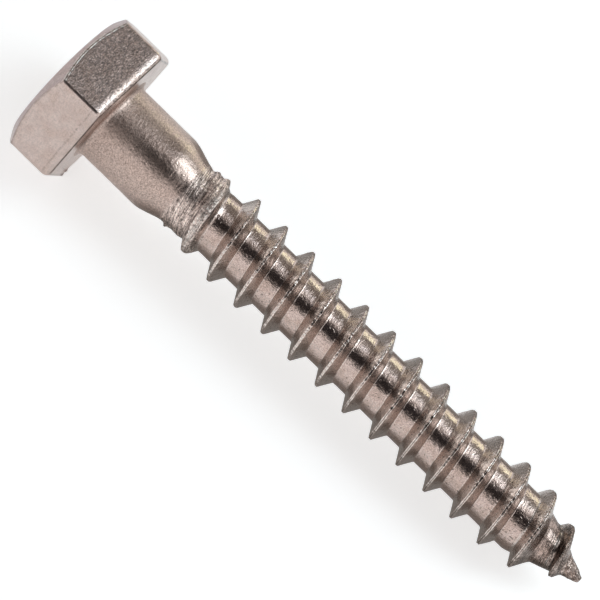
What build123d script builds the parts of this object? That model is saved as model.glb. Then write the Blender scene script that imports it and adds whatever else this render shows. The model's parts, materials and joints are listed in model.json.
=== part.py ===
"""Hexagon lag screw, 1/4 in - 10 x 1 3/4 in, forged and rolled from one piece of stainless steel.

The screw is drawn about its own axis: local Z runs from the head to the point, with the bearing face
under the head at Z = 0, and two flats of the hexagon face local +X and -X. Every sketch lies on a plane
taken from that axis, which is tilted so that the screw rests as it lies on a table, on the edge of one
flat and on the last crests of its thread.
"""

import os
from math import asin, atan2, cos, hypot, pi, radians, sin, tan

from build123d import *

# ---- head (mm, degrees) ----
ACROSS_FLATS = 11.15
HEAD_HEIGHT = 4.14
HEAD_TOP_RADIUS = 5.05
HEAD_CHAMFER_ANGLE = 31.0
HEAD_CORNER_RADIUS = 0.15
HEAD_EDGE_RADIUS = 0.45

# ---- shank and neck ----
LENGTH = 44.5
SHANK_RADIUS = 3.0
UNDER_HEAD_RADIUS = 0.45
UNDER_HEAD_STEP = 0.13
SHANK_LENGTH = 5.0
NECK_RADIUS = 2.42
BEAD_START = 7.6
BEAD_TOP = 7.8
BEAD_RADIUS = 2.56
NECK_END_RADIUS = 2.34
NECK_END = 8.4

# ---- threaded core and gimlet point ----
ROOT_START = 8.95
ROOT_RADIUS = 2.185
POINT_START = 39.1
POINT_RADIUS = 0.13
POINT_WAIST = 41.8
POINT_WAIST_RADIUS = 1.28

# ---- thread ridge ----
PITCH = 2.54
CREST_RADIUS = 3.175
CREST_WIDTH = 0.16
FLANK_ANGLE = 29.8
CREST_PHASE = 1.31
RIDGE_SUNK = 0.16
RIDGE_START = 7.3
RIDGE_START_RADIUS = 2.1
RIDGE_FULL = 11.6
RIDGE_FADE = 35.0
RIDGE_FADE_LENGTH = 8.75
RIDGE_FADE_POWER = 4.2
RIDGE_END = 43.62
RIDGE_SPANS = 18
STEPS_PER_SPAN = 12

flank_slope = tan(radians(FLANK_ANGLE))
point_slope = (ROOT_RADIUS - POINT_RADIUS) / (LENGTH - POINT_START)
half_width = CREST_WIDTH / 2


def crest_radius(height):
    """Radius of the ridge's crest: it rises out of the neck, runs level and falls away to the point."""
    if height < RIDGE_FULL:
        run_in = (RIDGE_FULL - height) / (RIDGE_FULL - RIDGE_START)
        return CREST_RADIUS - (CREST_RADIUS - RIDGE_START_RADIUS) * run_in**2
    if height > RIDGE_FADE:
        run_out = (height - RIDGE_FADE) / RIDGE_FADE_LENGTH
        return CREST_RADIUS * (1 - run_out**RIDGE_FADE_POWER)
    return CREST_RADIUS


def flank_depth(height, side):
    """Depth from the crest to the foot of one flank, which is sunk a little into the root or the cone."""
    depth = crest_radius(height) - ROOT_RADIUS
    crest_edge = height + side * half_width
    if crest_edge + side * depth * flank_slope > POINT_START:
        fall = point_slope * (crest_edge - POINT_START)
        depth = (depth + fall) / (1 - side * point_slope * flank_slope)
    return max(depth + RIDGE_SUNK, RIDGE_SUNK / 4)


# ---- the tilt at which it rests: a line under the rounded head edge that just touches a crest ----
def touch_tilt(height):
    """Tilt at which the crest at this height would meet a table that the head's lower edge stands on."""
    turn = 2 * pi * (height - CREST_PHASE) / PITCH
    rise = ACROSS_FLATS / 2 - HEAD_EDGE_RADIUS + crest_radius(height) * cos(turn)
    run = height + half_width + HEAD_EDGE_RADIUS
    return atan2(rise, run) + asin(HEAD_EDGE_RADIUS / hypot(rise, run))


level_steps = [RIDGE_FULL + step * PITCH / 360 for step in range(int(360 * (RIDGE_END - RIDGE_FULL) / PITCH))]
rest_tilt = min(touch_tilt(height) for height in level_steps)

rest_height = (
    (ACROSS_FLATS / 2 - HEAD_EDGE_RADIUS) * cos(rest_tilt) - HEAD_EDGE_RADIUS * sin(rest_tilt) + HEAD_EDGE_RADIUS
)
reach_back = HEAD_HEIGHT * cos(rest_tilt) + HEAD_TOP_RADIUS * sin(rest_tilt)
reach_front = LENGTH * cos(rest_tilt) + POINT_RADIUS * sin(rest_tilt)

screw = Plane(
    origin=((reach_back - reach_front) / 2, 0, rest_height),
    x_dir=(sin(rest_tilt), 0, cos(rest_tilt)),
    z_dir=(cos(rest_tilt), 0, -sin(rest_tilt)),
)
section = Plane(origin=screw.origin, x_dir=screw.x_dir, z_dir=-screw.y_dir)
centre_line = Axis(screw.origin, screw.z_dir)


def ridge_point(height, side, at_foot):
    """The point at one edge of the ridge's section, where its crest stands at this height."""
    turn = 2 * pi * (height - CREST_PHASE) / PITCH
    depth = flank_depth(height, side) if at_foot else 0
    radius = crest_radius(height) - depth
    along = height + side * (half_width + depth * flank_slope)
    return screw.from_local_coords(Vector(radius * cos(turn), radius * sin(turn), along))


def ridge_edge(start, end, side, at_foot):
    """A spiral edge of the ridge between two heights."""
    step = (end - start) / STEPS_PER_SPAN
    return Edge.make_spline([ridge_point(start + n * step, side, at_foot) for n in range(STEPS_PER_SPAN + 1)])


RIDGE_SECTION = [(-1, True), (-1, False), (1, False), (1, True)]


def ridge_span(start, end):
    """A stretch of the ridge as a closed solid: four ruled faces between its edges, and two flat ends."""
    edges = [ridge_edge(start, end, *corner) for corner in RIDGE_SECTION]
    faces = [Face.make_surface_from_curves(edges[n], edges[n - 3]) for n in range(4)]
    for height in (start, end):
        faces.append(Face(Wire.make_polygon([ridge_point(height, *corner) for corner in RIDGE_SECTION])))
    return Solid(Shell(faces))


with BuildPart() as lag_screw:
    # hexagon, rounded along the bearing side and down its corners
    with BuildSketch(screw.offset(-HEAD_HEIGHT)):
        RegularPolygon(radius=ACROSS_FLATS / 2, side_count=6, major_radius=False, rotation=30)
    extrude(amount=HEAD_HEIGHT)
    bearing_edges = lag_screw.faces().sort_by(centre_line)[-1].edges()
    fillet(bearing_edges, radius=HEAD_EDGE_RADIUS)
    fillet(lag_screw.edges().filter_by(centre_line), radius=HEAD_CORNER_RADIUS)

    # the cone that chamfers the corners of the head's top
    with BuildSketch(section):
        with BuildLine():
            outer = ACROSS_FLATS
            Polyline(
                (0, -HEAD_HEIGHT),
                (HEAD_TOP_RADIUS, -HEAD_HEIGHT),
                (outer, -HEAD_HEIGHT + (outer - HEAD_TOP_RADIUS) * tan(radians(HEAD_CHAMFER_ANGLE))),
                (outer, 0),
                (0, 0),
                close=True,
            )
        make_face()
    revolve(axis=centre_line, mode=Mode.INTERSECT)

    # shank, shoulder, neck with its bead, threaded core and point
    with BuildSketch(section):
        with BuildLine():
            flange_radius = SHANK_RADIUS + UNDER_HEAD_RADIUS
            Polyline(
                (0, LENGTH),
                (0, -HEAD_HEIGHT / 2),
                (flange_radius, -HEAD_HEIGHT / 2),
                (flange_radius, 0),
                (SHANK_RADIUS + UNDER_HEAD_STEP, UNDER_HEAD_STEP),
                (SHANK_RADIUS, UNDER_HEAD_RADIUS),
                (SHANK_RADIUS, SHANK_LENGTH),
            )
            Spline((SHANK_RADIUS, SHANK_LENGTH), (NECK_RADIUS, BEAD_START), tangents=((0, 1), (0, 1)))
            Polyline(
                (NECK_RADIUS, BEAD_START),
                (BEAD_RADIUS, BEAD_TOP),
                (NECK_END_RADIUS, NECK_END),
                (ROOT_RADIUS, ROOT_START),
                (ROOT_RADIUS, POINT_START),
                (POINT_WAIST_RADIUS, POINT_WAIST),
                (POINT_RADIUS, LENGTH),
                (0, LENGTH),
            )
        make_face()
    revolve(axis=centre_line)

    # the thread ridge
    span_length = (RIDGE_END - RIDGE_START) / RIDGE_SPANS
    for span in range(RIDGE_SPANS):
        start = RIDGE_START + span * span_length
        add(ridge_span(start, start + span_length))

os.makedirs("parts", exist_ok=True)
lag_screw.part.label = "lag_screw"
export_step(lag_screw.part, "parts/lag_screw.step")
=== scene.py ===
import functools
import json
import math

import bpy
import numpy as np
from mathutils import Matrix, Vector


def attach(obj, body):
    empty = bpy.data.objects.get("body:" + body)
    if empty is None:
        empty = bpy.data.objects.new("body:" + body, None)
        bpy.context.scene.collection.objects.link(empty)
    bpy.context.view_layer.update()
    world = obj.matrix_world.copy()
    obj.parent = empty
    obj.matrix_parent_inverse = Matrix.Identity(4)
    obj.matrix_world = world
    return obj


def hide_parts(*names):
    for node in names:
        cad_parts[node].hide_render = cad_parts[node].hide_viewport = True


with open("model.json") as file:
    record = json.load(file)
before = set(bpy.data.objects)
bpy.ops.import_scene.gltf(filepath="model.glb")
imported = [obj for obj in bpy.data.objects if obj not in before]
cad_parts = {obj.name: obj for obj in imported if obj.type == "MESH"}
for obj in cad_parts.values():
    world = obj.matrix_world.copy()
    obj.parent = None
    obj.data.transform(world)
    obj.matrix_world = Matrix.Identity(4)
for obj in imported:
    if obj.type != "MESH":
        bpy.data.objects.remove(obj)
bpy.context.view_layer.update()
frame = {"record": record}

# Looks for a forged and thread-rolled stainless steel lag screw.
#
# The screw is one mesh, made in its own frame: millimetres, Z from the head to the point with the bearing
# face at 0, X up from the table and Y towards the viewer. Its axes and main sizes come from the packed
# record's mounts. A place round the screw is given in turns: 0 at X, a quarter at Y.

TAU = 2 * math.pi
MM = 0.001

# ---------------------------------------------------------------- the screw's frame
mounts = {mount["name"]: mount for mount in frame["record"]["mounts"]}


def mount_point(name):
    return Vector(mounts[name]["pos_m"]) / MM


def mount_axis(name):
    return Vector(mounts[name]["axis"]).normalized()


along_dir = mount_axis("shank")
up_dir = mount_axis("upper_flat")
side_dir = along_dir.cross(up_dir).normalized()
head_to_shank = (mount_point("shank") - mount_point("under_head")).dot(along_dir)
screw_origin = mount_point("shank") - along_dir * head_to_shank

# ---------------------------------------------------------------- sizes (mm)
ACROSS_FLATS = (mount_point("upper_flat") - mount_point("lower_flat")).length
HEAD_HEIGHT = 4.14
HEAD_TOP_RADIUS = 5.05
HEAD_CHAMFER = math.tan(math.radians(31.0))
HEAD_CORNER_RADIUS = 0.16
BEARING_EDGE_INSET = 0.38
BEARING_EDGE_HEIGHT, BEARING_EDGE_SWAY = 0.52, 0.10
FILLET_RADIUS = 0.45

LENGTH = 44.38
SHANK_RADIUS = mounts["shank"]["dims"]["r_mm"]
SHANK_LENGTH = 5.0
NECK_START = 7.6
NECK_RADIUS = 2.42
NECK_TAPER_START, NECK_TAPER_CLIMB, NECK_TAPER_LENGTH = 7.75, 1.0, 0.95
ROOT_RADIUS = 2.185
POINT_START = 39.1
POINT_WAIST = 41.8
POINT_WAIST_RADIUS = 1.28
POINT_RADIUS = 0.21
POINT_BEND, POINT_BEND_START = 0.07, 41.5

PITCH = 2.54
CREST_RADIUS = 3.175
CREST_HALF_WIDTH = 0.088
FLANK_RUN = math.tan(math.radians(29.8))
CREST_PHASE = 1.31
RUN_IN_START, RUN_IN_RADIUS, RUN_IN_END = 7.3, 2.1, 11.6
FADE_START, FADE_LENGTH, FADE_POWER = 35.0, 8.75, 4.2
ROOT_BLEND = 0.05

# ---------------------------------------------------------------- what forging, rolling and wear left (mm)
NEAR_SIDE = 0.0758
UPPER_SIDE, LOWER_SIDE = NEAR_SIDE + 0.75, NEAR_SIDE + 0.25

# the first crest is blunt, with a long ramp towards the head: extra width and run, and where they end
FIRST_CREST_WIDTH, FIRST_CREST_END = 0.20, (8.6, 10.6)
FIRST_RAMP_RUN, FIRST_RAMP_END = 2.3, (8.3, 9.75)
CREST_ROUNDING, FIRST_CREST_ROUNDING = 0.04, 0.10
# the seam along the crest, which opens further on and is folded over in one place
SEAM_WIDTH, SEAM_DEPTH = 0.034, 0.012
OPEN_SEAM_DEPTH, SEAM_OPENS = 0.030, (22.0, 27.0)
FOLD_DEPTH, FOLD_START, FOLD_END = 0.08, (37.2, 37.4), (37.65, 37.75)

# from the top to the lower side, the relief of the neck ends one pitch earlier
NECK_EDGE, NECK_EDGE_SWAY, NECK_EDGE_FADE = 7.15, 0.22, 0.10
NECK_RELIEF_END = (9.4275, 10.2275)
NECK_SUNK = 0.035
FLAKE_RISE, FLAKE_END = 0.10, (7.9, 8.3)
FURROW_SPACING, FURROW_START = 0.30, (7.7, 8.1)
# from the upper side to the top, the furrows of the last ridge start one pitch later
PLOUGHED_DEPTH, PLOUGHED_SPACING = 0.022, 0.34
PLOUGHED_START, PLOUGHED_END = (39.7575, 40.7575), (42.4, 43.0)
SCUFF_START, SCUFF_END = (41.6, 42.8), (44.1, 44.4)

# small lumps and folds of shank and thread: place round the screw, height, size both ways, rise
BURR_RADIUS = 2.6
BURRS = [
    (UPPER_SIDE, 15.80, 0.22, 0.09, 0.13),
    (UPPER_SIDE, 18.32, 0.20, 0.09, 0.11),
    (UPPER_SIDE, 40.92, 0.20, 0.10, 0.11),
    (LOWER_SIDE, 38.14, 0.30, 0.10, 0.15),
    (LOWER_SIDE, 7.62, 0.35, 0.16, 0.22),
    (LOWER_SIDE, 8.58, 0.40, 0.14, 0.07),
    (UPPER_SIDE, 7.80, 0.35, 0.14, 0.10),
    (UPPER_SIDE, 8.62, 1.10, 0.18, 0.13),
]
# burrs of the head's bearing side: radius, place round the screw, size, rise
HEAD_BURRS = [(5.5, 0.415, 0.16, 0.16), (6.02, 0.418, 0.14, 0.12)]
LIP = 0.035
END_SMOOTHNESS = 0.8

# ---------------------------------------------------------------- how finely the mesh is divided (mm)
COLUMNS = 240
STRIP_TURNS = 15.9
STRIP_COLUMNS = int(STRIP_TURNS * COLUMNS)
STRIP_GATHERS = (5.5, 8.0)
CREST_ROWS = (0.0, 0.045, 0.08, 0.115)
FOOT_ROWS = (-0.03, 0.03, 0.11)
FLANK_MARGIN = 0.10
WEDGE_SPACING = 0.13
TOP_RINGS = (1.7, 3.4)
TOP_RIM = [(-0.12, 0.0), (-0.02, 0.012), (0.06, 0.05)]  # out from the top's radius, and down
CHAMFER_INSET, CHAMFER_FOOT_INSET = 0.08, 0.07
SIDE_START = 0.23  # from the chamfer's foot
LAST_RING = 0.95
TIP_GAP, TIP_RING_GAP = 0.05, 0.06
TIP_CAP_HEIGHT, TIP_CAP_POWER = 0.12, 0.7

# the unrolled skin that noise covers
NOISE_START, NOISE_LENGTH = -8, 60
CREST_NOISE_STEPS = 4000


# ---------------------------------------------------------------- noise
def smoothstep(low, high, value):
    t = np.clip((value - low) / (high - low), 0, 1)
    return t * t * (3 - 2 * t)


def smooth_max(a, b, width):
    return (a + b + np.sqrt((a - b) ** 2 + width**2)) / 2


@functools.lru_cache(maxsize=None)
def random_table(seed, *shape):
    return np.random.RandomState(seed).uniform(-1, 1, shape)


def skin_noise(turns, along, cells_round, cell_length, seed):
    """Smooth noise from -1 to 1 on the unrolled skin, which meets itself round the screw."""
    rows = int(NOISE_LENGTH / cell_length) + 3
    table = random_table(seed, rows, cells_round)
    a = np.asarray(turns) * cells_round
    b = (np.asarray(along) - NOISE_START) / cell_length
    i, j = np.floor(a).astype(int), np.floor(b).astype(int)
    fa, fb = a - i, b - j
    fa, fb = fa * fa * (3 - 2 * fa), fb * fb * (3 - 2 * fb)
    j = np.clip(j, 0, rows - 2)
    i0, i1 = i % cells_round, (i + 1) % cells_round
    low = table[j, i0] * (1 - fa) + table[j, i1] * fa
    high = table[j + 1, i0] * (1 - fa) + table[j + 1, i1] * fa
    return low * (1 - fb) + high * fb


def crest_noise(crest, step, seed):
    """Noise from -1 to 1 along the thread, which changes every step of a turn."""
    table = random_table(seed, CREST_NOISE_STEPS)
    return np.interp((crest - CREST_PHASE) / PITCH / step, np.arange(CREST_NOISE_STEPS), table)


# ---------------------------------------------------------------- the skin's radius at each place
def crest_radius(along):
    """Height of the ridge: it rises out of the neck, runs level and falls away to the point."""
    run_in = np.clip((RUN_IN_END - along) / (RUN_IN_END - RUN_IN_START), 0, 1.6)
    run_out = np.clip((along - FADE_START) / FADE_LENGTH, 0, 1.1)
    return CREST_RADIUS - (CREST_RADIUS - RUN_IN_RADIUS) * run_in**2 - CREST_RADIUS * run_out**FADE_POWER


def core_radius(turns, along):
    """The body without its ridge: shank, shoulder, neck, root and point."""
    shoulder = smoothstep(SHANK_LENGTH, NECK_START, along)
    neck = SHANK_RADIUS + (NECK_RADIUS - SHANK_RADIUS) * shoulder
    taper_start = NECK_TAPER_START + NECK_TAPER_CLIMB * ((turns - LOWER_SIDE) % 1)
    taper = smoothstep(0, 1, (along - taper_start) / NECK_TAPER_LENGTH)
    neck = neck + (ROOT_RADIUS - NECK_RADIUS) * taper
    to_waist = (along - POINT_START) / (POINT_WAIST - POINT_START)
    past_waist = (along - POINT_WAIST) / (LENGTH - POINT_WAIST)
    cone = np.where(
        along < POINT_WAIST,
        ROOT_RADIUS + (POINT_WAIST_RADIUS - ROOT_RADIUS) * to_waist,
        POINT_WAIST_RADIUS + (POINT_RADIUS - POINT_WAIST_RADIUS) * past_waist,
    )
    return np.minimum(neck, cone)


def ridge_radius(along, crest):
    """One turn's flanks and rolled crest, where crest is the height of its centre line."""
    rough = 1 - smoothstep(*FIRST_CREST_END, crest)
    half_width = CREST_HALF_WIDTH + FIRST_CREST_WIDTH * rough
    offset = along - crest - 0.010 * crest_noise(crest, step=0.07, seed=6)
    near_crest = np.exp(-((offset / (0.10 + half_width)) ** 2))
    offset = offset - 0.030 * crest_noise(crest, step=0.009, seed=3) * near_crest
    ramp = FIRST_RAMP_RUN * (1 - smoothstep(*FIRST_RAMP_END, crest)) * (offset < 0)
    beyond = (np.abs(offset) - half_width) / (FLANK_RUN + ramp)
    rounding = CREST_ROUNDING + FIRST_CREST_ROUNDING * rough
    flank = 0.5 * (beyond + np.sqrt(beyond**2 + rounding**2))

    fold = smoothstep(*FOLD_START, crest) * (1 - smoothstep(*FOLD_END, crest))
    seam_depth = SEAM_DEPTH + OPEN_SEAM_DEPTH * smoothstep(*SEAM_OPENS, crest) + FOLD_DEPTH * fold
    seam = seam_depth * np.exp(-((offset / SEAM_WIDTH) ** 2)) * (1 - rough)
    jagged = 0.030 * crest_noise(crest, step=0.0058, seed=4) * near_crest
    uneven = 0.014 * crest_noise(crest, step=0.05, seed=5)
    return crest_radius(crest) + jagged + uneven - flank - seam


def neck_relief(turns, along, helix):
    """The neck's flakes, then its furrows, which follow the rolling."""
    edge = NECK_EDGE + NECK_EDGE_SWAY * skin_noise(turns, 0 * along, cells_round=9, cell_length=1.0, seed=23)
    reach = along + PITCH * (turns < LOWER_SIDE)
    zone = smoothstep(edge - NECK_EDGE_FADE, edge + NECK_EDGE_FADE, along)
    zone = zone * (1 - smoothstep(*NECK_RELIEF_END, reach))
    flake = smoothstep(-0.20, 0.15, skin_noise(turns, along, cells_round=12, cell_length=0.55, seed=21))
    lumps = FLAKE_RISE * flake * (1 - smoothstep(*FLAKE_END, along))
    lumps = lumps + 0.035 * skin_noise(turns, along, cells_round=26, cell_length=0.26, seed=22)
    waver = 2 * skin_noise(turns, along, cells_round=7, cell_length=0.9, seed=25)
    depth = 0.022 + 0.016 * skin_noise(turns, along, cells_round=8, cell_length=0.5, seed=24)
    furrows = depth * np.sin(helix * TAU / FURROW_SPACING + waver) * smoothstep(*FURROW_START, along)
    return zone * (lumps + furrows - NECK_SUNK)


def ploughed_relief(turns, along, helix):
    """Furrows along the last ridge before the point."""
    reach = along - PITCH * (turns >= UPPER_SIDE)
    zone = smoothstep(*PLOUGHED_START, reach) * (1 - smoothstep(*PLOUGHED_END, along))
    return PLOUGHED_DEPTH * zone * np.sin(helix * TAU / PLOUGHED_SPACING)


def point_relief(turns, along):
    """Scuffs on the point."""
    zone = smoothstep(*SCUFF_START, along) * (1 - smoothstep(*SCUFF_END, along))
    broad = 0.06 * skin_noise(turns, along, cells_round=8, cell_length=0.36, seed=31)
    fine = 0.035 * skin_noise(turns, along, cells_round=14, cell_length=0.18, seed=32)
    return zone * (broad + fine)


def burr_relief(turns, along):
    relief = 0
    for at_turn, at_height, wide, tall, rise in BURRS:
        apart = ((turns - at_turn + 0.5) % 1 - 0.5) * TAU * BURR_RADIUS
        relief = relief + rise * np.exp(-((apart / wide) ** 2) - ((along - at_height) / tall) ** 2)
    return relief


def worn_skin(turns, along):
    """All the relief of the skin, for turns from 0 to 1."""
    helix = along - PITCH * turns
    peel = 0.0045 * skin_noise(turns, along, cells_round=34, cell_length=0.42, seed=11)
    peel = peel + 0.0030 * skin_noise(turns, along, cells_round=64, cell_length=0.24, seed=12)
    rolled = neck_relief(turns, along, helix) + ploughed_relief(turns, along, helix)
    return peel + rolled + point_relief(turns, along) + burr_relief(turns, along)


def skin_radius(turns, along):
    turns, along = np.asarray(turns, float), np.asarray(along, float)
    below = CREST_PHASE + PITCH * (turns % 1 + np.floor((along - CREST_PHASE) / PITCH - turns % 1))
    ridge = np.maximum(ridge_radius(along, below), ridge_radius(along, below + PITCH))
    return smooth_max(core_radius(turns, along), ridge, ROOT_BLEND) + worn_skin(turns % 1, along)


# ---------------------------------------------------------------- vertices, rings and chains of the mesh
points, faces = [], []
marks = {}
turn_of_column = np.arange(COLUMNS) / COLUMNS


def put(radius, turns, along):
    """Adds one vertex, from its radius, its place round the screw and its height, and gives its number."""
    angle = TAU * turns
    points.append((radius * math.cos(angle), radius * math.sin(angle), along))
    return len(points) - 1


def put_skin(turns, heights):
    """Adds a vertex of the skin at each of these places."""
    return [put(*place) for place in zip(skin_radius(turns, heights), turns, heights)]


def put_fan(middle, ring):
    """Closes a ring with triangles round its middle."""
    for i in range(COLUMNS):
        faces.append((middle, ring[i], ring[(i + 1) % COLUMNS]))


def join_rings(rings):
    for low, high in zip(rings, rings[1:]):
        for i in range(COLUMNS):
            k = (i + 1) % COLUMNS
            faces.append((low[i], low[k], high[k], high[i]))


def skin_chain(low, high, turns):
    """A chain from one vertex up to another in the same column, with vertices of the skin between them."""
    start, end = points[low][2], points[high][2]
    count = max(1, round((end - start) / WEDGE_SPACING))
    heights = [start + (end - start) * n / count for n in range(1, count)]
    return [low] + [put(float(skin_radius(turns, height)), turns, height) for height in heights] + [high]


def zip_chains(chains):
    """Fills the gaps between neighbours in a row of chains, whose vertices run along the screw."""
    for left, right in zip(chains, chains[1:]):
        i = j = 0
        while i < len(left) - 1 or j < len(right) - 1:
            left_is_next = i < len(left) - 1 and (
                j == len(right) - 1 or points[left[i + 1]][2] <= points[right[j + 1]][2]
            )
            if left_is_next:
                faces.append((left[i], right[j], left[i + 1]))
                i += 1
            else:
                faces.append((left[i], right[j], right[j + 1]))
                j += 1


# ---------------------------------------------------------------- the head
# every second side has a coarser grain and a rubbed lip with a painted highlight
coarse_side = 1 - smoothstep(0.235, 0.25, np.abs((turn_of_column * 3 + 0.5) % 1 - 0.5))
even_side = 1 - coarse_side
from_flat = ((turn_of_column * 6 + 0.5) % 1 - 0.5) / 6 * TAU


def hexagon(inset):
    """Radius of the hexagon at each column, with its corners rounded."""
    flat_at = ACROSS_FLATS / 2 - inset
    flat = flat_at / np.cos(from_flat)
    corner_centre = (flat_at - HEAD_CORNER_RADIUS) / math.cos(math.pi / 6)
    off_corner = math.pi / 6 - np.abs(from_flat)
    inside = np.clip(HEAD_CORNER_RADIUS**2 - (corner_centre * np.sin(off_corner)) ** 2, 0, None)
    rounded = corner_centre * np.cos(off_corner) + np.sqrt(inside)
    touch = math.atan2((flat_at - HEAD_CORNER_RADIUS) * math.tan(math.pi / 6), flat_at)
    return np.where(np.abs(from_flat) > touch, np.minimum(flat, rounded), flat)


def head_burrs(radii):
    """How much the burrs raise the head's bearing side at each column of a ring."""
    heights = np.zeros(COLUMNS)
    for at_radius, at_turn, size, rise in HEAD_BURRS:
        apart = (turn_of_column - at_turn) * TAU * at_radius
        heights = heights + rise * np.exp(-((apart / size) ** 2) - ((radii - at_radius) / size) ** 2)
    return heights


def put_ring(radii, heights, rub_and_highlight_share=0, painted_shade_share=0, smoothness=even_side):
    """Adds a ring, and marks for the material where it is rubbed bright with a painted highlight, where it
    has painted shade, and where it is smooth.
    """
    radii, heights, *shares = np.broadcast_arrays(radii, heights, rub_and_highlight_share, painted_shade_share, smoothness, turn_of_column)
    ring = [put(*place) for place in zip(radii, turn_of_column, heights)]
    for vertex, rubbed_and_highlight, painted_shade, smooth in zip(ring, *shares[:3]):
        marks[vertex] = (float(rubbed_and_highlight), float(painted_shade), float(smooth))
    return ring


def top_rings(outline, chamfer_foot):
    """The flat top, its rim and the chamfer."""
    rim = HEAD_TOP_RADIUS + TOP_RIM[-1][0]
    places = [(radius, -HEAD_HEIGHT) for radius in TOP_RINGS]
    places += [(HEAD_TOP_RADIUS + out, -HEAD_HEIGHT + down) for out, down in TOP_RIM]
    for share in (0.33, 0.66):
        radii = rim + (outline - CHAMFER_INSET - rim) * share
        places.append((radii, -HEAD_HEIGHT + (radii - HEAD_TOP_RADIUS) * HEAD_CHAMFER))
    places.append((outline - CHAMFER_FOOT_INSET, chamfer_foot - CHAMFER_FOOT_INSET * HEAD_CHAMFER))
    return [put_ring(*place, smoothness=END_SMOOTHNESS) for place in places]


def side_rings(outline, chamfer_foot):
    """The rubbed lip under the chamfer, with a painted highlight, the six sides and their rounded bearing
    edge, with painted shade along the edges.
    """
    # height past the chamfer's foot, how far it stands out, rubbing with a painted highlight, and painted
    # shade
    lip = [
        (0.00, -0.01, 0.7 * coarse_side, 0.25 * even_side),
        (0.03, LIP * coarse_side, coarse_side, 0.4 * even_side),
        (0.14, 0, 0.9 * coarse_side, 0.1 * coarse_side),
        (0.18, 0, 0, 0.9 * coarse_side),
        (SIDE_START, 0, 0, 0),
    ]
    rings = [put_ring(outline + out, chamfer_foot + past, rub_and_highlight_share, painted_shade_share) for past, out, rub_and_highlight_share, painted_shade_share in lip]
    edge_height = BEARING_EDGE_HEIGHT + BEARING_EDGE_SWAY * np.cos(TAU * (turn_of_column - NEAR_SIDE))
    # painted shade at the foot of the sides, and in one ring of the rounded bearing edge
    for share, painted_shade_share in ((0.33, 0), (0.66, 0), (0.97, 0), (1.0, 0.35)):
        heights = (chamfer_foot + SIDE_START) * (1 - share) - edge_height * share
        rings.append(put_ring(outline, heights, painted_shade_share=painted_shade_share * even_side))
    for degrees, painted_shade_share in ((12, 0), (24, 0), (36, 0), (48, 0), (60, 0), (75, 1), (90, 0)):
        bend = math.radians(degrees)
        radii = hexagon(BEARING_EDGE_INSET * (1 - math.cos(bend)))
        heights = -edge_height * (1 - math.sin(bend)) + head_burrs(radii)
        rings.append(put_ring(radii, heights, painted_shade_share=painted_shade_share))
    return rings


def bearing_rings():
    """The bearing face, from its rounded edge to the fillet."""
    inner = hexagon(BEARING_EDGE_INSET)
    rings = []
    for share in (0.06, 0.12, 0.18, 0.26, 0.5, 0.75, 1.0):
        radii = inner * (1 - share) + (SHANK_RADIUS + FILLET_RADIUS) * share
        rings.append(put_ring(radii, head_burrs(radii), smoothness=END_SMOOTHNESS))
    return rings


def fillet_rings():
    """The fillet under the head, and one ring of the shank."""
    rings = []
    for degrees in (22.5, 45, 67.5, 90):
        bend = math.radians(degrees)
        radius = SHANK_RADIUS + FILLET_RADIUS * (1 - math.sin(bend))
        rings.append(put_ring(radius, FILLET_RADIUS * (1 - math.cos(bend))))
    rings.append(put_ring(skin_radius(turn_of_column, LAST_RING), LAST_RING))
    return rings


def build_head():
    """Gives the shank's ring, and how many faces have the forged head's material."""
    outline = hexagon(0)
    chamfer_foot = -HEAD_HEIGHT + (outline - HEAD_TOP_RADIUS) * HEAD_CHAMFER
    forged = top_rings(outline, chamfer_foot) + side_rings(outline, chamfer_foot) + bearing_rings()
    rings = forged + fillet_rings()
    middle = put(0, 0, -HEAD_HEIGHT)
    marks[middle] = (0, 0, END_SMOOTHNESS)
    put_fan(middle, rings[0][::-1])
    join_rings(rings)
    return rings[-1], COLUMNS * len(forged)


# ---------------------------------------------------------------- shank, thread and point
def flank_foot(turns, crest, side):
    """Distance from the crest's centre line to the foot of its flank."""
    depth = crest_radius(crest) - core_radius(turns, crest + side * 0.4)
    return np.clip(CREST_HALF_WIDTH + FLANK_RUN * depth, 0.3, PITCH / 2 - 0.2)


def flank_rows(foot):
    """Distances from the crest's centre line of the rows down one flank."""
    top = [0 * foot + row for row in CREST_ROWS]
    low = foot - FLANK_MARGIN
    middle = [CREST_ROWS[-1] + (low - CREST_ROWS[-1]) * share for share in (0.5, 1)]
    return top + middle + [foot + row for row in FOOT_ROWS]


def build_strip():
    """The skin as one strip, a pitch wide, that follows the thread's crest from the shank to the point.

    Its last row is its first row one turn on, and the last turn of that row is free.
    """
    turns = np.arange(STRIP_COLUMNS + 1) / COLUMNS
    crest = CREST_PHASE + PITCH * turns
    next_crest = crest + PITCH
    ahead = flank_rows(flank_foot(turns, crest, 1))
    behind = flank_rows(flank_foot(turns, next_crest, -1))
    root_start, root_end = ahead[-1], PITCH - behind[-1]
    root = [root_start + (root_end - root_start) * share for share in (0.25, 0.5, 0.75)]
    thread_rows = np.array(ahead + root + [PITCH - row for row in behind[:0:-1]])
    plain_rows = PITCH * np.arange(len(thread_rows))[:, None] / len(thread_rows)
    gathered = smoothstep(*STRIP_GATHERS, crest)
    offsets = plain_rows * (1 - gathered) + thread_rows * gathered

    strip = [put_skin(turns, crest + offset) for offset in offsets]
    free = slice(STRIP_COLUMNS - COLUMNS + 1, None)
    strip.append(strip[0][COLUMNS:] + put_skin(turns[free], next_crest[free]))
    for c in range(STRIP_COLUMNS):
        for low, high in zip(strip, strip[1:]):
            faces.append((low[c], low[c + 1], high[c + 1], high[c]))
    return strip


def close_shank(ring, strip):
    """The wedge between the shank's ring and the first turn of the strip."""
    chains = [skin_chain(ring[i], strip[0][i], i / COLUMNS) for i in range(COLUMNS)]
    chains.append(chains[0] + [row[0] for row in strip[1:]])
    zip_chains(chains)


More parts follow.
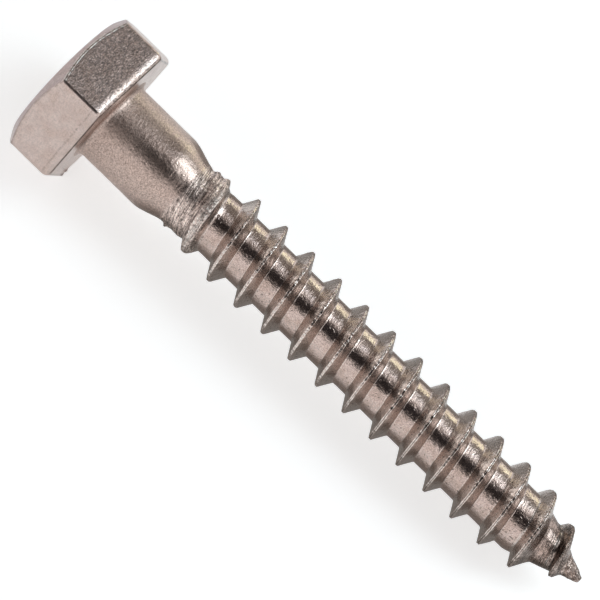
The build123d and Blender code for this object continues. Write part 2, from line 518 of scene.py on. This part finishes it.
def close_point(strip):
    """The wedge between the free turn of the strip and the blunt tip."""
    tip_start = CREST_PHASE + PITCH * (STRIP_TURNS + 1) + TIP_GAP
    tip_turns = (np.arange(COLUMNS) + STRIP_COLUMNS) % COLUMNS / COLUMNS
    rings = [put_skin(tip_turns, 0 * tip_turns + height) for height in (tip_start, tip_start + TIP_RING_GAP)]
    for degrees in (30, 60, 80):
        bend = math.radians(degrees)
        height = LENGTH - TIP_CAP_HEIGHT * (1 - math.sin(bend))
        radius = float(skin_radius(0, tip_start + TIP_RING_GAP)) * math.cos(bend) ** TIP_CAP_POWER
        rings.append([put(radius, turns, height) for turns in tip_turns])
    chains = []
    for i in range(1, COLUMNS + 1):
        column = STRIP_COLUMNS - COLUMNS + i
        chains.append(skin_chain(strip[-1][column], rings[0][i % COLUMNS], column / COLUMNS))
    chains.insert(0, [row[-1] for row in strip[:-1]] + chains[-1])
    zip_chains(chains)
    join_rings(rings)
    put_fan(put(0, 0, LENGTH), rings[-1])


def bend_point():
    for n, (x, y, z) in enumerate(points):
        if z > POINT_BEND_START:
            bend = POINT_BEND * ((z - POINT_BEND_START) / (LENGTH - POINT_BEND_START)) ** 2
            points[n] = (x + bend * math.cos(TAU * LOWER_SIDE), y + bend * math.sin(TAU * LOWER_SIDE), z)


shank_ring, forged_faces = build_head()
skin_strip = build_strip()
close_shank(shank_ring, skin_strip)
close_point(skin_strip)
bend_point()

screw_frame = Matrix.Translation(screw_origin) @ Matrix((up_dir, side_dir, along_dir)).transposed().to_4x4()
mesh = bpy.data.meshes.new("lag_screw_skin")
mesh.from_pydata([tuple(screw_frame @ Vector(point) * MM) for point in points], [], faces)
all_marks = [marks.get(n, (0, 0, 0)) for n in range(len(points))]
for name, values in (("own_place", points), ("edge_marks", all_marks)):
    attribute = mesh.attributes.new(name, "FLOAT_VECTOR", "POINT")
    attribute.data.foreach_set("vector", np.array(values, np.float32).ravel())
mesh.polygons.foreach_set("use_smooth", [True] * len(mesh.polygons))
screw = bpy.data.objects.new("lag_screw_steel", mesh)
bpy.context.scene.collection.objects.link(screw)


# ---------------------------------------------------------------- materials
class Recipe:
    """The node tree of one material, with short ways to add and join its nodes."""

    def __init__(self, name):
        self.material = bpy.data.materials.new(name)
        self.material.use_nodes = True
        self.tree = self.material.node_tree
        self.tree.nodes.clear()
        self.output = self.add("OutputMaterial")

    def add(self, kind, **settings):
        node = self.tree.nodes.new("ShaderNode" + kind)
        for name, value in settings.items():
            setattr(node, name, value)
        return node

    def put(self, socket, value):
        """Joins a socket to another node's output, or sets its value."""
        if isinstance(value, bpy.types.NodeSocket):
            self.tree.links.new(value, socket)
        else:
            socket.default_value = value

    def node(self, kind, *values, **settings):
        node = self.add(kind, **settings)
        for socket, value in zip(node.inputs, values):
            self.put(socket, value)
        return node.outputs[0]

    def math(self, operation, *values, clamp=False):
        return self.node("Math", *values, operation=operation, use_clamp=clamp)

    def times(self, first, *others):
        for other in others:
            first = self.math("MULTIPLY", first, other)
        return first

    def plus(self, first, *others):
        for other in others:
            first = self.math("ADD", first, other)
        return first

    def minus(self, first, second):
        return self.math("SUBTRACT", first, second)

    def attribute(self, name):
        return self.add("Attribute", attribute_name=name).outputs["Vector"]

    def parts(self, name):
        """The three numbers of a vector attribute of the mesh."""
        node = self.add("SeparateXYZ")
        self.put(node.inputs[0], self.attribute(name))
        return node.outputs

    def noise(self, place, scale, detail=2.0, w=None):
        node = self.add("TexNoise", noise_dimensions="3D" if w is None else "4D")
        self.put(node.inputs["Vector"], place)
        self.put(node.inputs["Scale"], scale)
        self.put(node.inputs["Detail"], detail)
        if w is not None:
            self.put(node.inputs["W"], w)
        return node.outputs["Fac"]

    def cells(self, place, scale):
        """A random number for each small grain of the surface."""
        node = self.add("TexVoronoi")
        self.put(node.inputs["Vector"], place)
        self.put(node.inputs["Scale"], scale)
        parts = self.add("SeparateColor")
        self.put(parts.inputs[0], node.outputs["Color"])
        return parts.outputs[0]

    def fade(self, value, low, high, out_low=0.0, out_high=1.0):
        """A smooth change from one output to the other as the value goes from low to high."""
        node = self.add("MapRange", interpolation_type="SMOOTHSTEP")
        for socket, number in zip(node.inputs, (value, low, high, out_low, out_high)):
            self.put(socket, number)
        return node.outputs["Result"]

    def blend(self, share, first, second):
        """A colour between two others."""
        node = self.add("Mix", data_type="RGBA")
        self.put(node.inputs[0], share)
        self.put(node.inputs[6], first)
        self.put(node.inputs[7], second)
        return node.outputs[2]

    def scale(self, colour, amount):
        node = self.add("VectorMath", operation="SCALE")
        self.put(node.inputs[0], colour)
        self.put(node.inputs["Scale"], amount)
        return node.outputs[0]

    def bump(self, height, distance, over=None):
        """A relief of so many millimetres, over another relief."""
        node = self.add("Bump")
        self.put(node.inputs["Distance"], distance * MM)
        self.put(node.inputs["Height"], height)
        if over is not None:
            self.put(node.inputs["Normal"], over)
        return node.outputs["Normal"]

    def metal(self, colour, roughness, normal):
        shader = self.add("BsdfPrincipled")
        shader.inputs["Metallic"].default_value = 1
        self.put(shader.inputs["Base Color"], colour)
        self.put(shader.inputs["Roughness"], roughness)
        self.put(shader.inputs["Normal"], normal)
        self.put(self.output.inputs["Surface"], shader.outputs[0])
        return self.material


PALE_STEEL = (0.600, 0.478, 0.432, 1)
WARM_STEEL = (0.520, 0.400, 0.350, 1)
BROWN_STEEL = (0.190, 0.140, 0.118, 1)
FLANK_STEEL = (0.620, 0.545, 0.505, 1)
HEAD_STEEL = (0.590, 0.485, 0.448, 1)
NECK_STEEL = (0.700, 0.580, 0.530, 1)
# bright rubbed steel, also used for painted highlights
RUBBED_AND_HIGHLIGHT_STEEL = (0.900, 0.850, 0.800, 1)
# dark of the seam and the beads, also used for painted shade
SEAM_AND_SHADE_DARK = (0.110, 0.085, 0.070, 1)

# heights (mm) between which each kind of skin comes in
BLASTED_SKIN = (4.6, 1.6)
SHANK_SKIN = (7.6, 6.4)
NECK_SKIN, NECK_SKIN_END = (6.9, 7.2), (9.80, 9.45)
THREAD_SKIN = (8.4, 9.2)
PITTED_SKIN = (34.0, 41.0)
POINT_SKIN = (39.0, 41.8)
BROWN_CONE = (41.4, 42.6)
SCUFFED_CONE = (41.8, 42.6)
# how steeply the first crest, where the neck's skin ends, slants across the near side
FIRST_CREST_SLANT = 0.26
# what each zone adds to the roughness
ROUGHNESS = {"flank": 0.05, "crest": 0.08, "shank": 0.12, "blasted": 0.12, "neck": 0.20, "point": 0.02}


class RolledSteel(Recipe):
    """Shank, neck, thread and point: bright rolled roots, duller flanks and a blasted shank."""

    def __init__(self):
        super().__init__("stainless_steel_rolled")
        self.place = self.attribute("own_place")
        self.x, self.y, self.z = self.parts("own_place")
        self.find_zones()
        self.find_thread_zones()
        self.make_noises()

    def towards(self, turns):
        """How far a place lies towards one side of the screw."""
        return self.plus(self.times(self.y, math.sin(TAU * turns)), self.times(self.x, math.cos(TAU * turns)))

    def find_zones(self):
        """Shares from 0 to 1 of each kind of skin along the screw and round it."""
        self.shank = self.fade(self.z, *SHANK_SKIN)
        self.blasted = self.fade(self.z, *BLASTED_SKIN)
        self.point = self.fade(self.z, *POINT_SKIN)
        lower = self.towards(LOWER_SIDE)
        unslanted = self.minus(self.z, self.times(lower, FIRST_CREST_SLANT))
        self.neck = self.times(self.fade(self.z, *NECK_SKIN), self.fade(unslanted, *NECK_SKIN_END))
        self.rough = self.math("ADD", self.neck, self.point, clamp=True)
        # the lower side, where the crests get a painted highlight: a lighter strip, more bright flecks and
        # fewer dark beads
        self.under = self.fade(lower, -0.5, 2.2)

    def find_thread_zones(self):
        """Shares from 0 to 1 of crest, flank and foot, from the distance to the crest's centre line."""
        turn = self.math("ARCTAN2", self.y, self.x)
        self.helix = self.minus(self.minus(self.z, CREST_PHASE), self.times(turn, PITCH / TAU))
        apart = self.math("ABSOLUTE", self.math("WRAP", self.helix, PITCH / 2, -PITCH / 2))
        threaded = self.fade(self.z, *THREAD_SKIN)
        self.seam = self.times(self.fade(apart, 0.040, 0.014), threaded)
        self.crest = self.times(self.fade(apart, 0.17, 0.08), threaded)
        self.crest_band = self.times(self.fade(apart, 0.19, 0.10), threaded)
        self.flank = self.times(self.fade(apart, 0.10, 0.18), self.fade(apart, 0.70, 0.58), threaded)
        self.foot = self.times(self.fade(apart, 0.62, 0.66), self.fade(apart, 0.73, 0.69), threaded)

    def make_noises(self):
        """Grain, patches and pits, and furrows and lines that follow the rolling."""
        self.grain = self.noise(self.place, 12.0, 1.5)
        self.mottle = self.noise(self.place, 1.5, 4.0)
        swing = self.times(self.helix, TAU / PITCH)
        across_x = self.times(self.math("COSINE", swing), PITCH / TAU)
        across_y = self.times(self.math("SINE", swing), PITCH / TAU)
        slow = self.plus(self.times(self.x, 0.24), self.times(self.z, 0.20))
        in_furrow = self.node("CombineXYZ", across_x, across_y, slow)
        in_line = self.node("CombineXYZ", across_x, across_y, self.times(slow, 0.35))
        self.furrows = self.noise(in_furrow, 9.0, 3.0, w=self.times(self.y, 0.24))
        self.lines = self.noise(in_line, 13.0, 2.0, w=self.times(self.y, 0.08))
        pits = self.plus(self.noise(self.place, 5.5, 0.0), self.fade(self.z, *PITTED_SKIN, 0.0, 0.08))
        self.pits = self.times(self.fade(pits, 0.72, 0.80), self.fade(self.z, *SHANK_SKIN, 1.0, 0.2))

    def relief(self):
        peel = self.times(self.noise(self.place, 3.4, 2.0), self.fade(self.z, *SHANK_SKIN, 1.0, 1.25))
        furrow_depth = self.plus(1.1, self.times(self.crest, 0.9), self.times(self.rough, 2.4))
        normal = self.bump(peel, 0.022)
        normal = self.bump(self.times(self.furrows, furrow_depth), 0.020, normal)
        return self.bump(self.minus(self.grain, self.times(self.pits, 0.8)), 0.010, normal)

    def steel(self):
        """The colours of the zones, before bright and dark marks."""
        colour = self.blend(self.fade(self.mottle, 0.35, 0.65), PALE_STEEL, WARM_STEEL)
        colour = self.blend(self.times(self.flank, 0.85), colour, FLANK_STEEL)
        least_brown = self.fade(self.z, *BROWN_CONE, 0.55, 0.80)
        brown = self.times(self.point, self.fade(self.mottle, 0.30, 0.62, 1.0, least_brown))
        colour = self.blend(brown, colour, BROWN_STEEL)
        colour = self.blend(self.times(self.shank, 0.8), colour, WARM_STEEL)
        colour = self.blend(self.times(self.neck, 0.6), colour, NECK_STEEL)
        streaks = self.fade(self.lines, 0.38, 0.62, -0.45, 0.45)
        patches = self.fade(self.noise(self.place, 7.0, 2.0), 0.38, 0.62, -0.30, 0.25)
        uneven = self.times(self.rough, self.plus(streaks, patches))
        colour = self.scale(colour, self.plus(0.96, uneven))
        # painted highlight: a light line along the foot of each flank
        colour = self.blend(self.times(self.foot, 0.20), colour, RUBBED_AND_HIGHLIGHT_STEEL)
        # painted highlight: a lighter strip along the crests of the lower side
        return self.blend(self.times(self.crest_band, self.under, 0.6), colour, NECK_STEEL)

    def rubbed_and_highlight(self, colour):
        """Adds scuffs on the cone and rubbed bright flecks along the crest, and a painted highlight along the
        crests of the lower side.
        """
        scuffs = self.fade(self.noise(self.place, 6.0, 1.0), 0.55, 0.62)
        scuffs = self.times(self.fade(self.z, *SCUFFED_CONE), scuffs, 0.6)
        colour = self.blend(scuffs, colour, NECK_STEEL)
        flecks = self.fade(self.noise(self.place, 9.0, 1.0), 0.48, 0.60)
        # bright flecks rubbed on the crests, and a painted highlight along the crests of the lower side
        bright = self.times(self.crest, self.math("MAXIMUM", flecks, self.times(self.under, 0.35)))
        bright = self.times(bright, self.minus(1.0, self.times(self.point, 0.8)), 0.7)
        return self.blend(bright, colour, RUBBED_AND_HIGHLIGHT_STEEL)

    def dark(self):
        """Share of dark: painted shade in thin folds, pits and furrows, and the beads and the seam along the
        crest.
        """
        wander = self.noise(self.place, 1.3, 3.0)
        folds = self.fade(self.math("ABSOLUTE", self.minus(wander, 0.5)), 0.006, 0.002)
        folded = self.fade(self.noise(self.place, 0.9, 1.0), 0.54, 0.60)
        folds = self.times(folds, self.math("MAXIMUM", self.neck, folded))
        hollows = self.times(self.rough, self.fade(self.furrows, 0.44, 0.36))
        shadows = self.math("ADD", self.pits, self.plus(folds, hollows), clamp=True)
        beads = self.times(self.crest, self.fade(self.noise(self.place, 10.0, 1.0), 0.46, 0.36, 0.0, 0.6))
        # fewer dark beads on the lower side, where the crests carry a painted highlight
        beads = self.times(beads, self.minus(1.0, self.times(self.under, 0.7)))
        seam = self.times(self.seam, self.fade(self.z, *SEAM_OPENS, 0.15, 0.85))
        return self.math("MAXIMUM", self.times(shadows, 0.6), self.math("MAXIMUM", beads, seam))

    def colour(self):
        colour = self.blend(self.dark(), self.rubbed_and_highlight(self.steel()), SEAM_AND_SHADE_DARK)
        specks = self.minus(self.cells(self.place, 15.0), 0.5)
        specks = self.times(specks, self.plus(0.25, self.times(self.shank, 0.35)))
        specks = self.plus(specks, self.fade(self.grain, 0.25, 0.75, -0.17, 0.17))
        return self.scale(colour, self.plus(1.0, specks))

    def roughness(self):
        roughness = self.plus(0.12, self.times(self.mottle, 0.10))
        for zone, amount in ROUGHNESS.items():
            roughness = self.plus(roughness, self.times(getattr(self, zone), amount))
        return roughness


def rolled_steel():
    r = RolledSteel()
    return r.metal(r.colour(), r.roughness(), r.relief())


def forged_steel():
    """The head: a fine cross-hatched grain from the die, rubbed marks with a painted highlight along the lip,
    and painted shade along its edges.
    """
    r = Recipe("stainless_steel_forged")
    place = r.attribute("own_place")
    x, y, z = r.parts("own_place")
    rubbed_and_highlight, painted_shade, smooth = r.parts("edge_marks")

    def scratches(across, along):
        stretched = r.node("CombineXYZ", r.times(x, across), r.times(y, across), r.times(z, along))
        return r.noise(stretched, 1.0, 2.0)

    hatch = r.plus(scratches(14.0, 3.0), scratches(3.0, 14.0))
    mottle = r.noise(place, 1.1, 4.0)
    coarse = r.fade(smooth, 0.0, 1.0, 1.0, 0.24)
    normal = r.bump(mottle, 0.004)
    normal = r.bump(r.times(hatch, coarse), 0.009, normal)
    normal = r.bump(r.times(r.noise(place, 13.0, 1.0), coarse), 0.012, normal)

    colour = r.blend(r.fade(mottle, 0.30, 0.75, 0.0, 0.7), HEAD_STEEL, WARM_STEEL)
    specks = r.times(r.minus(r.cells(place, 15.0), 0.5), 0.75)
    specks = r.times(r.plus(specks, r.fade(hatch, 0.75, 1.25, -0.25, 0.25)), coarse)
    colour = r.scale(colour, r.plus(r.fade(smooth, 0.0, 1.0, 0.86, 1.0), specks))
    broken = r.noise(place, 5.0, 1.0)
    # painted shade along the edges, broken up by noise
    colour = r.blend(r.times(painted_shade, r.fade(broken, 0.35, 0.55)), colour, SEAM_AND_SHADE_DARK)
    # rubbed bright marks along the lip, with a painted highlight, broken up by noise
    colour = r.blend(r.times(rubbed_and_highlight, r.fade(broken, 0.42, 0.52)), colour, RUBBED_AND_HIGHLIGHT_STEEL)
    return r.metal(colour, r.plus(0.18, r.times(mottle, 0.14)), normal)


mesh.materials.append(rolled_steel())
mesh.materials.append(forged_steel())
mesh.polygons.foreach_set("material_index", [1] * forged_faces + [0] * (len(faces) - forged_faces))

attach(screw, "root")
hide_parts("lag_screw")

# ---------------------------------------------------------------- floor and world
FLOOR_SIZE = 6
FLOOR_COLOUR = (0.78, 0.78, 0.78, 1)
FLOOR_GLOW, MIRRORED_FLOOR_GLOW = 0.58, 0.44


def white_floor():
    """Paper that is lifted to white for the camera and in reflections, and keeps the screw's shadow."""
    r = Recipe("white_floor")
    path = r.add("LightPath").outputs
    mirrored = r.math("ADD", path["Is Glossy Ray"], path["Is Transmission Ray"], clamp=True)
    seen = r.times(path["Is Camera Ray"], FLOOR_GLOW)
    glow = r.node("Emission", (1, 1, 1, 1), r.plus(seen, r.times(mirrored, MIRRORED_FLOOR_GLOW)))
    sheet = r.node("BsdfDiffuse", FLOOR_COLOUR)
    r.put(r.output.inputs["Surface"], r.node("AddShader", sheet, glow))
    return r.material


bpy.ops.mesh.primitive_plane_add(size=FLOOR_SIZE, location=(0, 0, 0))
floor = bpy.context.object
floor.name = "floor"
floor.data.materials.append(white_floor())

world = bpy.data.worlds.new("studio")
bpy.context.scene.world = world
world.use_nodes = True
world.node_tree.nodes["Background"].inputs["Color"].default_value = (1, 1, 1, 1)
world.node_tree.nodes["Background"].inputs["Strength"].default_value = 1

# ---------------------------------------------------------------- studio
VIEW_TURN = 27.3  # degrees from the screw's X to the middle of the viewer's side
STUDIO_CENTRE = 18.0  # height on the screw (mm)
CARD_STEPS = 24
LOW_CARD_HEIGHT = 0.0003
LOW_CARD_END_SOFTNESS = 0.1

# panels parallel to the screw: name, distance (m), limits round the screw in degrees, from the viewer's side
# over the top to the back, limits of lean towards the point in degrees, colour, strength, degrees that fade
PANELS = [
    ("dark_side", 0.50, (-30, 47), (-75, 50), (1.0, 0.92, 0.95), 0.03, (25, 12)),
    ("fill_softbox", 0.47, (39, 61), (-6, 12), (0.88, 0.98, 1.06), 1.35, (7, 4)),
    ("key_softbox", 0.46, (34, 84), (5, 58), (0.88, 1.0, 1.05), 4.3, (18, 22)),
    ("grey_ceiling", 0.52, (54, 97), (-75, 75), (1.0, 0.98, 0.92), 0.28, (6, 12)),
    ("head_side_flag", 0.51, (36, 72), (-75, -1), (1.0, 0.85, 0.74), 0.17, (8, 5)),
    ("warm_strip", 0.48, (94, 115), (-4, 14), (0.93, 1.02, 0.78), 2.35, (5, 4)),
]
# cards just over the floor, which paint shade of the floor round the screw into its reflections: name, limits
# along the screw and across it (m), soft edge (m), colour, strength
LOW_CARDS = [
    ("low_card_front", (-0.018, 0.028), (-0.0115, 0.006), 0.008, (1.0, 0.95, 0.90), 0.24),
    ("low_card_back", (-0.018, 0.028), (0.000, 0.050), 0.010, (1.0, 0.97, 0.93), 0.28),
    ("low_card_head", (-0.075, -0.0235), (-0.030, 0.040), 0.006, (0.97, 0.96, 1.0), 0.70),
]


def between(limits, share):
    return limits[0] + (limits[1] - limits[0]) * share


def card(name, place_at, soft_shares, colour, strength):
    """A glowing card which only reflections and light see, with edges that fade.

    place_at gives the place of a point from its shares across and along the card, and soft_shares are the
    shares of each that fade.
    """
    corners, spreads, quads = [], [], []
    for j in range(CARD_STEPS + 1):
        for i in range(CARD_STEPS + 1):
            corners.append(place_at(i / CARD_STEPS, j / CARD_STEPS))
            inwards = [min(n, CARD_STEPS - n) / CARD_STEPS / share for n, share in zip((i, j), soft_shares)]
            spreads.extend((*inwards, 0))
    for j in range(CARD_STEPS):
        for i in range(CARD_STEPS):
            k = j * (CARD_STEPS + 1) + i
            quads.append((k, k + 1, k + CARD_STEPS + 2, k + CARD_STEPS + 1))
    shape = bpy.data.meshes.new(name)
    shape.from_pydata(corners, [], quads)
    shape.attributes.new("from_edge", "FLOAT_VECTOR", "POINT").data.foreach_set("vector", spreads)
    cloth = Recipe(name + "_cloth")
    side, end, _ = cloth.parts("from_edge")
    cover = cloth.times(cloth.fade(side, 0.0, 1.0), cloth.fade(end, 0.0, 1.0))
    glow = cloth.node("Emission", (*colour, 1), strength)
    clear = cloth.node("BsdfTransparent")
    cloth.put(cloth.output.inputs["Surface"], cloth.node("MixShader", cover, clear, glow))
    shape.materials.append(cloth.material)
    thing = bpy.data.objects.new(name, shape)
    bpy.context.scene.collection.objects.link(thing)
    thing.visible_camera = False
    return thing


def panel(name, distance, rounds, leans, colour, strength, soft):
    """A curved panel of the studio, at the same distance all along the screw."""

    def place_at(across, ahead):
        lean = math.radians(between(leans, ahead))
        angle = math.radians(VIEW_TURN - between(rounds, across))
        reach = up_dir * math.cos(angle) + side_dir * math.sin(angle)
        middle = screw_origin * MM + along_dir * (STUDIO_CENTRE * MM + distance * math.tan(lean))
        return middle + reach * distance

    shares = (soft[0] / (rounds[1] - rounds[0]), soft[1] / (leans[1] - leans[0]))
    card(name, place_at, shares, colour, strength)


def low_card(name, length, reach, soft, colour, strength):
    """A dim card just over the floor beside the screw, which only its reflections see: painted shade of the
    floor.
    """

    def place_at(across, ahead):
        return Vector((between(length, ahead), between(reach, across), LOW_CARD_HEIGHT))

    shares = (soft / (reach[1] - reach[0]), LOW_CARD_END_SOFTNESS)
    thing = card(name, place_at, shares, colour, strength)
    thing.visible_diffuse = False
    thing.visible_shadow = False


for settings in PANELS:
    panel(*settings)
for settings in LOW_CARDS:
    low_card(*settings)

# ---------------------------------------------------------------- camera (mm, degrees)
CAMERA_LENS, CAMERA_SENSOR = 154.02, 36
CAMERA_DISTANCE = 172.91
CAMERA_TURN = 26.909
CAMERA_LEAN = 0.595
CAMERA_ROLL = 44.398
AIM_ALONG = 17.653
AIM_UP, AIM_SIDE = 0.112, -0.220

turn, lean, roll = math.radians(CAMERA_TURN), math.radians(CAMERA_LEAN), math.radians(CAMERA_ROLL)
level_toward = up_dir * math.cos(turn) + side_dir * math.sin(turn)
toward = level_toward * math.cos(lean) - along_dir * math.sin(lean)
aim = screw_origin + along_dir * AIM_ALONG + up_dir * AIM_UP + side_dir * AIM_SIDE
flat_along = (along_dir - toward * along_dir.dot(toward)).normalized()
across = toward.cross(flat_along)
cam_right = flat_along * math.cos(roll) + across * math.sin(roll)
cam_up = toward.cross(cam_right)
camera = bpy.data.objects.new("camera", bpy.data.cameras.new("camera"))
bpy.context.scene.collection.objects.link(camera)
camera.data.lens = CAMERA_LENS
camera.data.sensor_width = CAMERA_SENSOR
camera.data.clip_start, camera.data.clip_end = 0.01, 10
camera.matrix_world = (
    Matrix.Translation((aim + toward * CAMERA_DISTANCE) * MM)
    @ Matrix((cam_right, cam_up, toward)).transposed().to_4x4()
)
bpy.context.scene.camera = camera
bpy.context.scene.view_settings.view_transform = "Standard"
